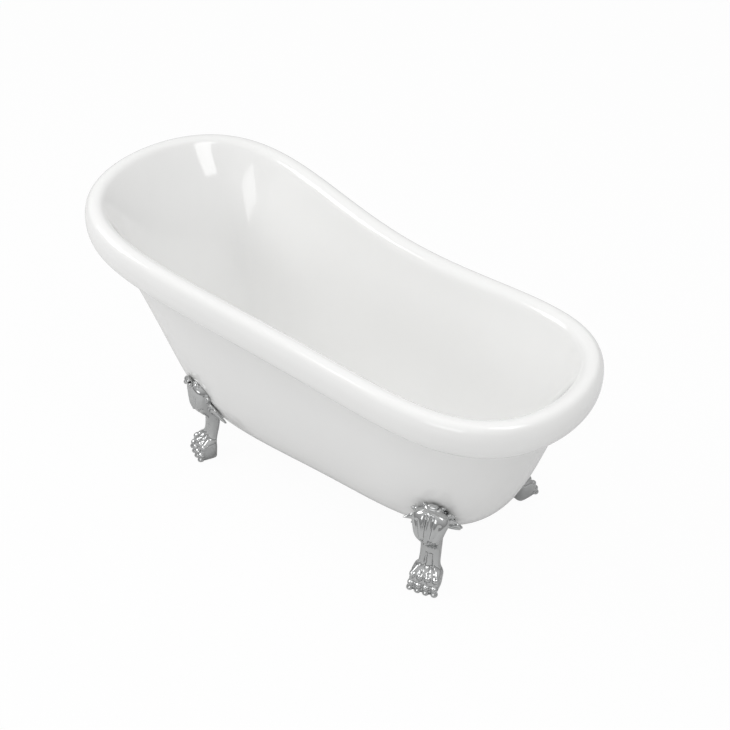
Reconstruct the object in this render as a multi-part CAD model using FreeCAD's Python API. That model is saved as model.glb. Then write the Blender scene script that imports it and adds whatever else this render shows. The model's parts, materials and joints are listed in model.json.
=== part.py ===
"""Slipper bathtub on four claw feet, in millimetres.

X runs from the raised head end (-X) to the drain end (+X), Y is across the tub, Z is up.
The origin is on the floor, under the middle of the tub.
The tub is a thermoformed bowl with a rolled rim, a second skin bonded under the roll, four cast
claw feet bolted through that skin, and a waste and overflow set in the drain end.
"""
import FreeCAD, Part

import math
import os

from FreeCAD import Rotation, Vector

# ---------------------------------------------------------------- driving dimensions

# rim: the centre line of the roll, seen from above and from the side
tub_length = 1500.0
head_end_fullness = 570.0
head_half_width = 318.0
middle_half_width = 279.0
drain_half_width = 279.0
drain_end_fullness = 503.0
rim_height_head_end = 714.0
rim_height_head = 651.0
rim_height_middle = 586.0
rim_height_drain = 564.0
rim_height_drain_end = 568.0

# section of the roll
roll_outer_half_width = 27.0
roll_inner_half_width = 37.0
roll_half_height = 48.0
roll_squareness = 2.35

# outer skin
skin_thickness = 5.0
skin_bottom_height = 90.0
skin_bottom_head_reach = 316.0
skin_bottom_drain_reach = 384.0
skin_bottom_half_width = 106.0
seam_inset = 32.0
seam_drop = 47.0
skin_tuck = 20.0
skin_slope = (0.085, 0.74, 0.31)
skin_belly = (0.66, 0.485, 0.728)
skin_upper_pull = 0.73

# bowl
shell_thickness = 5.0
cavity_depth = 40.0
bowl_floor_head_reach = 285.0
bowl_floor_drain_reach = 330.0
bowl_floor_half_width = 88.0
bowl_slope = (0.20, 0.80, 0.52)
bowl_round = (0.62, 0.42, 0.42)
bowl_upper_pull = 0.55
bond_gap = 0.4

# claw feet
foot_drain_x = 495.0
foot_drain_y = 214.0
foot_drain_heading = 15.0
foot_head_x = 317.0
foot_head_y = 214.0
foot_head_heading = 18.0
foot_height = 292.0
leaf_half_width = 84.0
leaf_tip_height = 208.0
leaf_root_height = 98.0
leaf_shoulder = (50.0, 262.0)
leaf_skirt = (52.0, 150.0)
leaf_notch = 6.0
leaf_thickness = 9.0
gasket_thickness = 1.5
web_half_width = 16.0
web_reach = 90.0
web_low = 122.0
web_rise = 30.0
paw_half_width = 44.0
paw_clearance = 1.5
toe_count = 4
toe_radius = 11.5
toe_spread = 6.0
toe_sides = 8
toe_root_height = 46.0
toe_knuckle_reach = 20.0
toe_knuckle_height = 41.0
toe_tip_reach = 32.0
toe_tip_height = 22.0
claw_height = 4.0

# sections of the casting: height, reach towards the tub, reach away from it, half width
sole = (paw_clearance, 21.5, 24.0, 38.0)
instep = (40.0, 21.0, 23.0, 43.0)
ankle = (72.0, 15.0, 14.0, 29.0)
shank = (118.0, 14.0, 12.0, 28.0)
knee_root = (165.0, 24.0, 17.0, 34.0)
knee = (236.0, 44.0, 33.0, 46.0)
crest = (foot_height, 34.0, 22.0, 16.0)
section_points = 14
section_rounding = 0.75

# foot fasteners
stud_radius = 5.0
stud_clearance = 0.5
mounting_height = 204.0
stud_spacing = 40.0
stud_hold = 14.0
backing_thickness = 9.0
backing_half_width = 36.0
backing_half_height = 38.0
washer_radius = 11.0
washer_thickness = 2.0
nut_across_flats = 17.0
nut_height = 8.0
stud_end = 4.0

# levelling screws
screw_radius = 6.0
screw_length = 46.0
screw_fit = 0.05
pad_radius = 15.0
pad_height = 6.0
pad_clearance = 1.5
pad_plate_height = 3.0

# floor support
board_thickness = 15.0
board_half_length = 215.0
board_centre_x = -40.0
board_half_width = 92.0
batten_width = 70.0
batten_half_length = 118.0
batten_spacing = 300.0
board_corner = 30.0
flat_gap = 0.3
seat_gap = 0.6

# waste
waste_x = 262.0
waste_hole_radius = 25.5
flange_radius = 35.0
flange_thickness = 3.5
gasket_flat = 2.0
waste_thread_radius = 24.0
waste_bore_radius = 20.5
back_nut_radius = 33.0
back_nut_height = 9.0
tail_radius = 20.0
tail_bore_radius = 18.0
tail_end_height = 24.0
chamber_bottom_height = 66.0
neck_reach = 14.0
stub_length = 24.0
pipe_lift = 15.8
spigot_radius = 13.0
skin_waste_gap = 4.0
plug_radius = 24.5
plug_dome = 5.0
post_radius = 5.0
post_length = 42.0
post_fit = 0.05
cartridge_height = 16.0
cartridge_drop = 18.0
plug_rim = 2.0
seal_gap = 1.0
seal_depth = 2.5
spider_bar = 5.0

# overflow
overflow_height = 468.0
overflow_hole_radius = 18.0
overflow_body_radius = 17.0
overflow_bore_radius = 13.0
overflow_body_depth = 30.0
overflow_seal_radius = 26.0
overflow_plate_radius = 33.0
overflow_plate_depth = 8.0
overflow_slot_count = 5
overflow_slot_width = 3.0
overflow_slot_pitch = 7.0
overflow_slot_length = 16.0
overflow_pipe_depth = 18.0
elbow_flange = 4.0
elbow_wall = 4.0
plate_lift = 3.0
plate_wall = 2.0
spigot_drop = 42.0
cover_screw_radius = 2.5
cover_head_radius = 5.5
cover_head_height = 2.0
pipe_radius = 11.0
pipe_wall = 1.8
pipe_socket = 14.0
pipe_fit = 0.1
pipe_bend_radius = 60.0
union_nut_radius = 15.5
union_nut_length = 12.0
union_nut_cap = 4.0

# drawing: ribs round the tub and stations up each rib
rib_count = 72
wall_stations = (0.0, 0.14, 0.32, 0.52, 0.72, 0.88, 1.0)
roll_steps = 8
roll_share = 0.29
cover_height = 950.0

os.makedirs("parts", exist_ok=True)


def save(shape, node):
    """Writes one piece under its node's name."""
    shape.exportStep("parts/" + node + ".step")


# ---------------------------------------------------------------- rim line

half_run = tub_length / 2 - roll_outer_half_width
quarter_widening = math.sqrt(1 - 0.5**2)


def graph(values):
    """A smooth curve through five values, evenly spaced from the head end to the drain end."""
    stations = [half_run * k for k in (-1.0, -0.5, 0.0, 0.5, 1.0)]
    curve = Part.BSplineCurve()
    points = [Vector(x, value, 0) for x, value in zip(stations, values)]
    curve.interpolate(Points=points, Parameters=stations)
    return curve


half_width_graph = graph((
    head_end_fullness,
    head_half_width / quarter_widening,
    middle_half_width,
    drain_half_width / quarter_widening,
    drain_end_fullness,
))
height_graph = graph((
    rim_height_head_end,
    rim_height_head,
    rim_height_middle,
    rim_height_drain,
    rim_height_drain_end,
))


def rim_point(angle):
    """The roll's centre line at a plan angle: 0 is the drain end, pi the head end."""
    x = half_run * math.cos(angle)
    y = half_width_graph.value(x).y * math.sin(angle)
    return Vector(x, y, height_graph.value(x).y)


def rim_outward(angle):
    """The level direction that points out of the tub, square to the rim line in plan."""
    step = 1e-4
    along = rim_point(angle + step) - rim_point(angle - step)
    return Vector(along.y, -along.x, 0).normalize()


# ---------------------------------------------------------------- wall surfaces

def cubic(a, b, c, d, s):
    """A point of the cubic curve with four control points."""
    r = 1 - s
    return a * r**3 + b * (3 * r * r * s) + c * (3 * r * s * s) + d * s**3


def blend(values, angle):
    """Goes smoothly from the side's value to the head end's or the drain end's."""
    side, head, drain = values
    end = head if math.cos(angle) < 0 else drain
    return side + (end - side) * math.cos(angle)**2


def floor_point(angle, head_reach, drain_reach, half_width, height):
    """A point on the oval edge of a flat floor."""
    centre = (drain_reach - head_reach) / 2
    half_length = (drain_reach + head_reach) / 2
    return Vector(centre + half_length * math.cos(angle), half_width * math.sin(angle), height)


def skin_point(angle, s):
    """The outer skin's outside, from its flat bottom (s = 0) up to its top edge (s = 1)."""
    slope = blend(skin_slope, angle)
    top = rim_point(angle) - rim_outward(angle) * (seam_inset - skin_tuck * slope)
    top.z -= seam_drop - skin_tuck
    bottom = floor_point(angle, skin_bottom_head_reach, skin_bottom_drain_reach,
                         skin_bottom_half_width, skin_bottom_height)
    run = Vector(top.x - bottom.x, top.y - bottom.y, 0)
    rise = Vector(0, 0, top.z - bottom.z)
    low = bottom + run * blend(skin_belly, angle)
    lean = Vector(run).normalize() * (rise.z * slope)
    high = top - (lean + rise) * skin_upper_pull
    return cubic(bottom, low, high, top, s)


def seam_share(angle, height):
    """How far up the wall the outer skin is a given height above the seam."""
    rise = rim_point(angle).z - seam_drop + skin_tuck - skin_bottom_height
    return 1 - (skin_tuck - height) / (3 * skin_upper_pull * rise)


bowl_floor_height = skin_bottom_height + skin_thickness + cavity_depth + shell_thickness


def roll_point(angle, turn):
    """The roll's outside: turn 0 faces out, 90 is the crest, 180 faces the bowl."""
    c, s = math.cos(math.radians(turn)), math.sin(math.radians(turn))
    power = 2 / roll_squareness
    half_width = roll_outer_half_width if c > 0 else roll_inner_half_width
    sideways = math.copysign(half_width * abs(c)**power, c)
    upward = math.copysign(roll_half_height * abs(s)**power, s)
    return rim_point(angle) + rim_outward(angle) * sideways + Vector(0, 0, upward)


def join_turn(angle):
    """Where the roll's inner side leans as much as the bowl's wall, so that they run on."""
    ratio = blend(bowl_slope, angle) * roll_half_height / roll_inner_half_width
    return 180 - math.degrees(math.atan(ratio**(1 / (2 - 2 / roll_squareness))))


def bowl_point(angle, s):
    """The bowl's wetted side, from the floor's edge (s = 0) up to the roll (s = 1)."""
    top = roll_point(angle, join_turn(angle))
    bottom = floor_point(angle, bowl_floor_head_reach, bowl_floor_drain_reach,
                         bowl_floor_half_width, bowl_floor_height)
    run = Vector(top.x - bottom.x, top.y - bottom.y, 0)
    rise = Vector(0, 0, top.z - bottom.z)
    low = bottom + run * blend(bowl_round, angle)
    lean = rim_outward(angle) * (rise.z * blend(bowl_slope, angle))
    high = top - (lean + rise) * bowl_upper_pull
    return cubic(bottom, low, high, top, s)


def lip_point(angle, height):
    """The roll's returned edge, bonded against the outer skin."""
    return offset_point(skin_point, angle, seam_share(angle, height), bond_gap)


def shell_point(angle, s):
    """The inner shell's face: the bowl up to 1, then the roll down to its underside."""
    if s <= 1:
        return bowl_point(angle, s)
    start = join_turn(angle)
    return roll_point(angle, start + (-90 - start) * (s - 1) / roll_share)


def offset_point(surface, angle, s, distance):
    """A point moved off a wall surface, outwards where the distance is positive."""
    if s == 0.0:
        return surface(angle, s) - Vector(0, 0, distance)
    step = 1e-3
    across = surface(angle + step, s) - surface(angle - step, s)
    along = surface(angle, s + step) - surface(angle, s - step)
    return surface(angle, s) + across.cross(along).normalize() * distance


# ---------------------------------------------------------------- building walls

def ribs(surface, stations, distance):
    """Points up a wall surface at each plan angle, moved off it by a distance."""
    angles = [2 * math.pi * i / rib_count for i in range(rib_count)]
    return [[offset_point(surface, angle, s, distance) for s in stations] for angle in angles]


def pairs(items):
    """Each item with the next one round a closed row."""
    return zip(items, items[1:] + items[:1])


def smooth(points, steps):
    """A smooth curve through points at given steps."""
    curve = Part.BSplineCurve()
    curve.interpolate(Points=points, Parameters=steps)
    return curve


def panel(a, b):
    """The face between two curves that have the same steps."""
    surface = Part.BSplineSurface()
    surface.buildFromPolesMultsKnots(
        [a.getPoles(), b.getPoles()], [2, 2], a.getMultiplicities(),
        [0.0, 1.0], a.getKnots(), False, False, 1, a.Degree,
    )
    return surface.toShape()


def panels(columns, steps):
    """A wall's faces: each spans the room between two smooth ribs."""
    return [panel(a, b) for a, b in pairs([smooth(column, steps) for column in columns])]


def band(low, high):
    """The narrow faces between two closed rows of points."""
    faces = []
    for (a, b), (c, d) in zip(pairs(low), pairs(high)):
        surface = Part.BSplineSurface()
        surface.buildFromPolesMultsKnots(
            [[a, b], [c, d]], [2, 2], [2, 2], [0.0, 1.0], [0.0, 1.0], False, False, 1, 1,
        )
        faces.append(surface.toShape())
    return faces


def flat(points):
    """A flat face within a closed row of points."""
    return Part.Face(Part.makePolygon(points + points[:1]))


def sewn(faces):
    """A solid from faces that share their edges."""
    shell = Part.makeShell(faces)
    shell.sewShape()
    solid = Part.makeSolid(shell)
    if solid.Volume < 0:
        solid.reverse()
    return solid


def hollow(outside, inside, steps):
    """A wall between two sets of ribs, with a flat bottom and an open top."""
    faces = panels(outside, steps) + panels(inside, steps)
    faces += band([rib[-1] for rib in outside], [rib[-1] for rib in inside])
    faces += [flat([rib[0] for rib in outside]), flat([rib[0] for rib in inside])]
    return sewn(faces)


def enclosed(surface, distance):
    """All the room within a wall surface moved by a distance, and straight above it."""
    side = ribs(surface, wall_stations, distance)
    edge = [rib[-1] for rib in side]
    lid = [Vector(point.x, point.y, cover_height) for point in edge]
    faces = panels(side, wall_stations) + band(edge, lid)
    return sewn(faces + [flat([rib[0] for rib in side]), flat(lid)])


def rod(radius, start, end):
    """A round bar between two points."""
    return Part.makeCylinder(radius, (end - start).Length, start, end - start)


def tube(outer, inner, start, end):
    """A round bar with a bore."""
    return rod(outer, start, end).cut(rod(inner, start, end))


def hexagon(across_flats, start, end):
    """A six-sided bar between two points."""
    corner = across_flats / math.sqrt(3)
    length = (end - start).Length
    points = [
        Vector(corner * math.cos(math.pi * i / 3), corner * math.sin(math.pi * i / 3), 0)
        for i in range(7)
    ]
    bar = Part.Face(Part.makePolygon(points)).extrude(Vector(0, 0, length))
    bar.Placement = FreeCAD.Placement(start, Rotation(Vector(0, 0, 1), end - start))
    return bar


# ---------------------------------------------------------------- the two shells

skin_room = enclosed(skin_point, 0.0)
skin_inner_room = enclosed(skin_point, -skin_thickness - flat_gap)
foot_seat = enclosed(skin_point, gasket_thickness)
gasket_seat = enclosed(skin_point, flat_gap)
bowl_inner_room = enclosed(bowl_point, -seat_gap)
bowl_outer_room = enclosed(bowl_point, shell_thickness + seat_gap)

waste_axis = Vector(waste_x, 0, 0)


def on_waste_axis(height):
    """A point on the waste's upright axis."""
    return Vector(waste_x, 0, height)


def bowl_share(height):
    """How far up the wall the bowl has a given height at the drain end."""
    low, high = 0.0, 1.0
    for _ in range(40):
        middle = (low + high) / 2
        if bowl_point(0.0, middle).z < height:
            low = middle
        else:
            high = middle
    return low


overflow_share = bowl_share(overflow_height)
overflow_face = bowl_point(0.0, overflow_share)
overflow_out = (offset_point(bowl_point, 0.0, overflow_share, 1.0) - overflow_face).normalize()
overflow_down = Vector(overflow_out.z, 0, -overflow_out.x)


def on_overflow_axis(depth):
    """A point on the overflow's axis: positive depths are behind the bowl's face."""
    return overflow_face + overflow_out * depth


roll_stations = [1 + roll_share * (i + 1) / roll_steps for i in range(roll_steps)]
shell_stations = list(wall_stations) + roll_stations
shell_face = ribs(shell_point, shell_stations, 0.0)
shell_back = ribs(shell_point, shell_stations, shell_thickness)
for i in range(rib_count):
    shell_face[i].append(lip_point(2 * math.pi * i / rib_count, 0.0))
    shell_back[i].append(lip_point(2 * math.pi * i / rib_count, shell_thickness))
lip_station = 1 + roll_share * (roll_steps + 1) / roll_steps
inner_shell = hollow(shell_face, shell_back, shell_stations + [lip_station])
inner_shell = inner_shell.cut(
    rod(waste_hole_radius, on_waste_axis(bowl_floor_height - 30), on_waste_axis(bowl_floor_height + 30))
)
inner_shell = inner_shell.cut(
    rod(overflow_hole_radius, on_overflow_axis(-25), on_overflow_axis(25))
)
save(inner_shell, "inner_shell")

outer_skin = hollow(
    ribs(skin_point, wall_stations, 0.0),
    ribs(skin_point, wall_stations, -skin_thickness),
    wall_stations,
)
chamber_radius = waste_thread_radius + 5.0
outer_skin = outer_skin.cut(
    rod(chamber_radius + skin_waste_gap, on_waste_axis(skin_bottom_height - 20),
        on_waste_axis(skin_bottom_height + 20))
)


# ---------------------------------------------------------------- claw feet

def mirrored(shape):
    """The same piece on the other side of the tub."""
    return shape.mirror(Vector(0, 0, 0), Vector(0, 1, 0))


def section(height, back, front, half_width):
    """A rounded section through the casting: X points away from the tub."""
    middle = (front - back) / 2
    half_depth = (front + back) / 2
    points = []
    for i in range(section_points):
        angle = 2 * math.pi * i / section_points
        c, s = math.cos(angle), math.sin(angle)
        x = middle + half_depth * math.copysign(abs(c)**section_rounding, c)
        y = half_width * math.copysign(abs(s)**section_rounding, s)
        points.append(Vector(x, y, height))
    return Part.makePolygon(points + points[:1])


def leaf_outline():
    """The scalloped edge of the mounting leaf, seen from outside the tub."""
    right = [
        (0.0, foot_height),
        leaf_shoulder,
        (leaf_half_width, leaf_tip_height),
        leaf_skirt,
        (0.0, leaf_root_height),
    ]
    tips = right + [(-y, z) for y, z in right[-2:0:-1]]
    edges = []
    for i, tip in enumerate(tips):
        valleys = []
        for other in (tips[i - 1], tips[(i + 1) % len(tips)]):
            middle = Vector(0, (tip[0] + other[0]) / 2, (tip[1] + other[1]) / 2)
            inward = Vector(0, 0, leaf_tip_height) - middle
            valleys.append(middle + inward.normalize() * leaf_notch)
        edges.append(Part.Arc(valleys[0], Vector(0, tip[0], tip[1]), valleys[1]).toShape())
    return Part.Wire(edges)


def toe(number):
    """One clawed toe, bent down from its knuckle to the floor."""
    across = (number - (toe_count - 1) / 2) * 2 * (paw_half_width - toe_radius) / (toe_count - 1)
    joints = [
        Vector(0, 0, toe_root_height),
        Vector(toe_knuckle_reach, 0, toe_knuckle_height),
        Vector(toe_tip_reach, 0, toe_tip_height),
        Vector(toe_tip_reach + 1.0, 0, claw_height),
    ]
    sizes = (toe_radius * 0.8, toe_radius, toe_radius * 0.85, toe_radius * 0.5)
    curves = []
    for i, (joint, size) in enumerate(zip(joints, sizes)):
        along = (joints[min(i + 1, 3)] - joints[max(i - 1, 0)]).normalize()
        up = Vector(0, 1, 0).cross(along)
        points = []
        for k in range(toe_sides):
            angle = 2 * math.pi * k / toe_sides
            points.append(joint + Vector(0, size * math.cos(angle), 0) + up * (size * math.sin(angle)))
        curves.append(Part.makePolygon(points + points[:1]))
    shape = Part.makeLoft(curves, True, False)
    shape.rotate(Vector(0, 0, 0), Vector(0, 0, 1), across / paw_half_width * toe_spread)
    shape.translate(Vector(0, across, 0))
    return shape


def casting():
    """The claw foot before it is fitted to the tub: ankle, paw, toes and web."""
    leg = Part.makeLoft(
        [section(*row) for row in (sole, instep, ankle, shank, knee_root, knee, crest)],
        True, False,
    )
    web = Part.Face(Part.makePolygon([
        Vector(0, -web_half_width, web_low),
        Vector(-web_reach, -web_half_width, web_low + web_rise),
        Vector(-web_reach, -web_half_width, knee[0]),
        Vector(0, -web_half_width, knee[0]),
        Vector(0, -web_half_width, web_low),
    ])).extrude(Vector(0, 2 * web_half_width, 0))
    return leg.fuse([web] + [toe(i) for i in range(toe_count)])


def stood(shape, place):
    """A foot's piece, turned and moved from the foot's own frame to its place."""
    x, y, turn = place
    moved = shape.copy()
    moved.rotate(Vector(0, 0, 0), Vector(0, 0, 1), turn)
    moved.translate(Vector(x, y, 0))
    return moved


def reach(room, place, across, height):
    """How far the room within a wall reaches along a foot's outward direction."""
    line = stood(Part.makeLine(Vector(-150, across, height), Vector(80, across, height)), place)
    inside = line.common(room)
    start = stood(Part.Vertex(Vector(-150, across, height)), place).Point
    return max((vertex.Point - start).Length for vertex in inside.Vertexes) - 150


foot_places = {
    "head": (-foot_head_x, -foot_head_y, -90 - foot_head_heading),
    "drain": (foot_drain_x, -foot_drain_y, -90 + foot_drain_heading),
}
raw_casting = casting()
leaf_prism = Part.Face(leaf_outline()).extrude(Vector(240, 0, 0))
leaf_prism.translate(Vector(-150, 0, 0))
leaf_room = enclosed(skin_point, gasket_thickness + leaf_thickness)
gasket_room = enclosed(skin_point, gasket_thickness - flat_gap)
screw_top = pad_plate_height + screw_length
pieces = {"foot_studs": [], "foot_washers": [], "foot_nuts": []}

for end, place in foot_places.items():
    leaf = stood(leaf_prism, place).common(leaf_room)
    foot = stood(raw_casting, place).fuse(leaf).cut(foot_seat)
    screw_hole = rod(screw_radius + screw_fit, Vector(0, 0, 0), Vector(0, 0, screw_top + pad_clearance))
    pad_recess = rod(pad_radius + pad_clearance, Vector(0, 0, 0), Vector(0, 0, pad_height))
    foot = foot.cut([stood(screw_hole, place), stood(pad_recess, place)])
    gasket = stood(leaf_prism, place).common(gasket_room).cut(gasket_seat)

    # the studs stand square to the wall that they pass through
    wall_face = reach(skin_room, place, 0, mounting_height)
    wall_above = reach(skin_room, place, 0, mounting_height + stud_spacing / 2)
    tilt = math.degrees(math.atan((wall_above - wall_face) / (stud_spacing / 2)))

    def mounted(shape):
        """A fastener's piece, moved from the stud's frame to its place on the wall."""
        shape.rotate(Vector(0, 0, 0), Vector(0, 1, 0), tilt)
        shape.translate(Vector(wall_face, 0, mounting_height))
        return stood(shape, place)

    backing_face = -skin_thickness - backing_thickness
    nut_face = backing_face - washer_thickness
    nut_end = nut_face - nut_height
    block = Part.makeBox(
        150, 2 * backing_half_width, 2 * backing_half_height,
        Vector(backing_face, -backing_half_width, -backing_half_height),
    )
    block = mounted(block).common(skin_inner_room)
    for height in (-stud_spacing / 2, stud_spacing / 2):
        inner_end = Vector(nut_end - stud_end, 0, height)
        outer_end = Vector(stud_hold, 0, height)
        stud = rod(stud_radius, inner_end, outer_end)
        thread = rod(stud_radius + screw_fit, inner_end, outer_end)
        washer = tube(
            washer_radius, stud_radius + stud_clearance,
            Vector(nut_face, 0, height), Vector(backing_face, 0, height),
        )
        nut = hexagon(nut_across_flats, Vector(nut_end, 0, height), Vector(nut_face, 0, height))
        nut = nut.cut(thread)
        through = mounted(rod(stud_radius + stud_clearance, inner_end, outer_end))
        foot = foot.cut(mounted(thread))
        gasket = gasket.cut(through)
        block = block.cut(through)
        outer_skin = outer_skin.cut([through, mirrored(through)])
        for node, solid in (("foot_studs", stud), ("foot_washers", washer), ("foot_nuts", nut)):
            piece = mounted(solid)
            pieces[node] += [piece, mirrored(piece)]

    screw = rod(screw_radius, Vector(0, 0, pad_plate_height), Vector(0, 0, screw_top))
    pad = rod(pad_radius, Vector(0, 0, 0), Vector(0, 0, pad_height))
    pad = pad.cut(rod(screw_radius + screw_fit, Vector(0, 0, pad_plate_height), Vector(0, 0, pad_height)))
    for side in ("right", "left"):
        for node, shape in (
            ("claw_foot", foot),
            ("foot_gasket", gasket),
            ("backing_block", block),
            ("levelling_screw", stood(screw, place)),
            ("levelling_pad", stood(pad, place)),
        ):
            shape = shape if side == "right" else mirrored(shape)
            save(shape, node + "_" + end + "_" + side)

for node, solids in pieces.items():
    save(Part.makeCompound(solids), node)
save(outer_skin, "outer_skin")


# ---------------------------------------------------------------- floor support

cavity_bottom = skin_bottom_height + skin_thickness
cavity_top = bowl_floor_height - shell_thickness
board_bottom = cavity_top - board_thickness
board = Part.makeBox(
    2 * board_half_length, 2 * board_half_width, board_thickness,
    Vector(board_centre_x - board_half_length, -board_half_width, board_bottom),
)
corners = [edge for edge in board.Edges if abs(edge.tangentAt(0).z) > 0.9]
save(board.makeFillet(board_corner, corners), "floor_board")

for end, side in (("head", -1), ("drain", 1)):
    batten = Part.makeBox(
        batten_width, 2 * batten_half_length, board_bottom - cavity_bottom,
        Vector(board_centre_x + side * batten_spacing / 2 - batten_width / 2,
               -batten_half_length, cavity_bottom),
    )
    save(batten.common(enclosed(skin_point, -skin_thickness)), "cross_batten_" + end)


# ---------------------------------------------------------------- waste

gasket_top = bowl_floor_height + gasket_flat
flange_top = gasket_top + flange_thickness
lower_gasket_bottom = cavity_top - gasket_flat
back_nut_bottom = lower_gasket_bottom - back_nut_height
neck_bottom = back_nut_bottom - neck_reach
cartridge_bottom = flange_top - cartridge_drop - cartridge_height

flange = rod(flange_radius, on_waste_axis(gasket_top), on_waste_axis(flange_top))
flange = flange.fuse(rod(waste_thread_radius, on_waste_axis(neck_bottom), on_waste_axis(gasket_top)))
flange = flange.cut(rod(waste_bore_radius, on_waste_axis(neck_bottom), on_waste_axis(flange_top)))
outer_edges = [edge for edge in flange.Edges
               if abs(edge.BoundBox.ZMin - flange_top) < 0.01 and edge.Length > 200]
flange = flange.makeFillet(flange_thickness * 0.6, outer_edges)
hub = rod(post_radius + 3.0, on_waste_axis(cartridge_bottom),
          on_waste_axis(cartridge_bottom + cartridge_height))
for turn in (0, 60, 120):
    bar = Part.makeBox(2 * waste_bore_radius + 1.0, spider_bar, spider_bar,
                       Vector(-waste_bore_radius - 0.5, -spider_bar / 2, cartridge_bottom))
    bar.rotate(Vector(0, 0, 0), Vector(0, 0, 1), turn)
    bar.translate(waste_axis)
    hub = hub.fuse(bar)
flange = flange.fuse(hub)
flange = flange.cut(rod(post_radius + post_fit, on_waste_axis(cartridge_bottom - 1),
                        on_waste_axis(flange_top)))
save(flange, "waste_flange")
save(
    tube(flange_radius - 1.0, waste_thread_radius + flat_gap,
         on_waste_axis(bowl_floor_height), on_waste_axis(gasket_top)),
    "waste_gasket_upper",
)
save(
    tube(back_nut_radius, waste_thread_radius + flat_gap,
         on_waste_axis(lower_gasket_bottom), on_waste_axis(cavity_top)),
    "waste_gasket_lower",
)
back_nut = hexagon(2 * back_nut_radius, on_waste_axis(back_nut_bottom),
                   on_waste_axis(lower_gasket_bottom))
save(
    back_nut.cut(rod(waste_thread_radius + screw_fit, on_waste_axis(back_nut_bottom),
                     on_waste_axis(lower_gasket_bottom))),
    "waste_back_nut",
)

pipe_height = cavity_bottom + pipe_lift
chamber_wall = chamber_radius - waste_thread_radius
chamber_top = back_nut_bottom - seat_gap
chamber = rod(chamber_radius, on_waste_axis(chamber_bottom_height), on_waste_axis(chamber_top))
chamber = chamber.fuse(rod(tail_radius, on_waste_axis(tail_end_height),
                           on_waste_axis(chamber_bottom_height)))
stub_start = Vector(waste_x + chamber_radius - chamber_wall, 0, pipe_height)
stub_end = Vector(waste_x + chamber_radius + stub_length, 0, pipe_height)
chamber = chamber.fuse(rod(spigot_radius, stub_start, stub_end))
chamber = chamber.cut([
    rod(waste_thread_radius + screw_fit, on_waste_axis(chamber_bottom_height + chamber_wall),
        on_waste_axis(back_nut_bottom)),
    rod(tail_bore_radius, on_waste_axis(tail_end_height),
        on_waste_axis(chamber_bottom_height + chamber_wall)),
    rod(pipe_radius - pipe_wall, stub_start - Vector(2, 0, 0), stub_end),
    rod(pipe_radius + pipe_fit, stub_end - Vector(pipe_socket, 0, 0), stub_end),
])
save(chamber, "waste_body")

plug_bottom = flange_top
plug = rod(plug_radius, on_waste_axis(plug_bottom), on_waste_axis(plug_bottom + plug_rim))
dome = Part.makeSphere(
    (plug_radius**2 + plug_dome**2) / (2 * plug_dome),
    on_waste_axis(plug_bottom + plug_rim + plug_dome - (plug_radius**2 + plug_dome**2) / (2 * plug_dome)),
)
dome = dome.common(rod(plug_radius, on_waste_axis(plug_bottom + plug_rim),
                       on_waste_axis(plug_bottom + plug_rim + 2 * plug_dome)))
plug = plug.fuse(dome)
plug = plug.fuse(rod(post_radius, on_waste_axis(plug_bottom - post_length), on_waste_axis(plug_bottom)))
save(plug.removeSplitter(), "waste_plug")
save(
    tube(waste_bore_radius - seal_gap, post_radius + screw_fit,
         on_waste_axis(plug_bottom - seal_depth), on_waste_axis(plug_bottom)),
    "waste_plug_seal",
)


# ---------------------------------------------------------------- overflow

def along_overflow(depth, drop):
    """A point behind the overflow, down along the sloping wall."""
    return on_overflow_axis(depth) + overflow_down * drop


body_end = shell_thickness + overflow_body_depth
seal = rod(overflow_seal_radius, on_overflow_axis(0), on_overflow_axis(shell_thickness + seal_depth))
seal = seal.cut([bowl_outer_room, rod(overflow_body_radius + flat_gap, on_overflow_axis(-5),
                                      on_overflow_axis(20))])
save(seal, "overflow_gasket")
elbow = rod(overflow_body_radius, on_overflow_axis(0), on_overflow_axis(body_end))
elbow = elbow.fuse(rod(overflow_seal_radius, on_overflow_axis(shell_thickness + seal_depth + flat_gap),
                       on_overflow_axis(shell_thickness + seal_depth + elbow_flange)))
spigot_depth = shell_thickness + overflow_pipe_depth
spigot_end = along_overflow(spigot_depth, spigot_drop)
elbow = elbow.fuse(rod(spigot_radius, along_overflow(spigot_depth, 0), spigot_end))
elbow = elbow.cut([
    rod(overflow_bore_radius, on_overflow_axis(-1), on_overflow_axis(body_end - elbow_wall)),
    rod(pipe_radius - pipe_wall, along_overflow(spigot_depth, 0), spigot_end),
    rod(pipe_radius + pipe_fit, along_overflow(spigot_depth, spigot_drop - pipe_socket), spigot_end),
])
bridge = Part.makeBox(2 * overflow_body_radius - 4, 6.0, 8.0,
                      Vector(2 - overflow_body_radius, -3.0, 0))
bridge = bridge.fuse(Part.makeCylinder(cover_screw_radius + 3.0, 8.0))
bridge.Placement = FreeCAD.Placement(on_overflow_axis(1.0), Rotation(Vector(0, 0, 1), overflow_out))
elbow = elbow.fuse(bridge)
elbow = elbow.cut(rod(cover_screw_radius + screw_fit, on_overflow_axis(-1), on_overflow_axis(10)))
save(elbow, "overflow_elbow")

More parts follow.
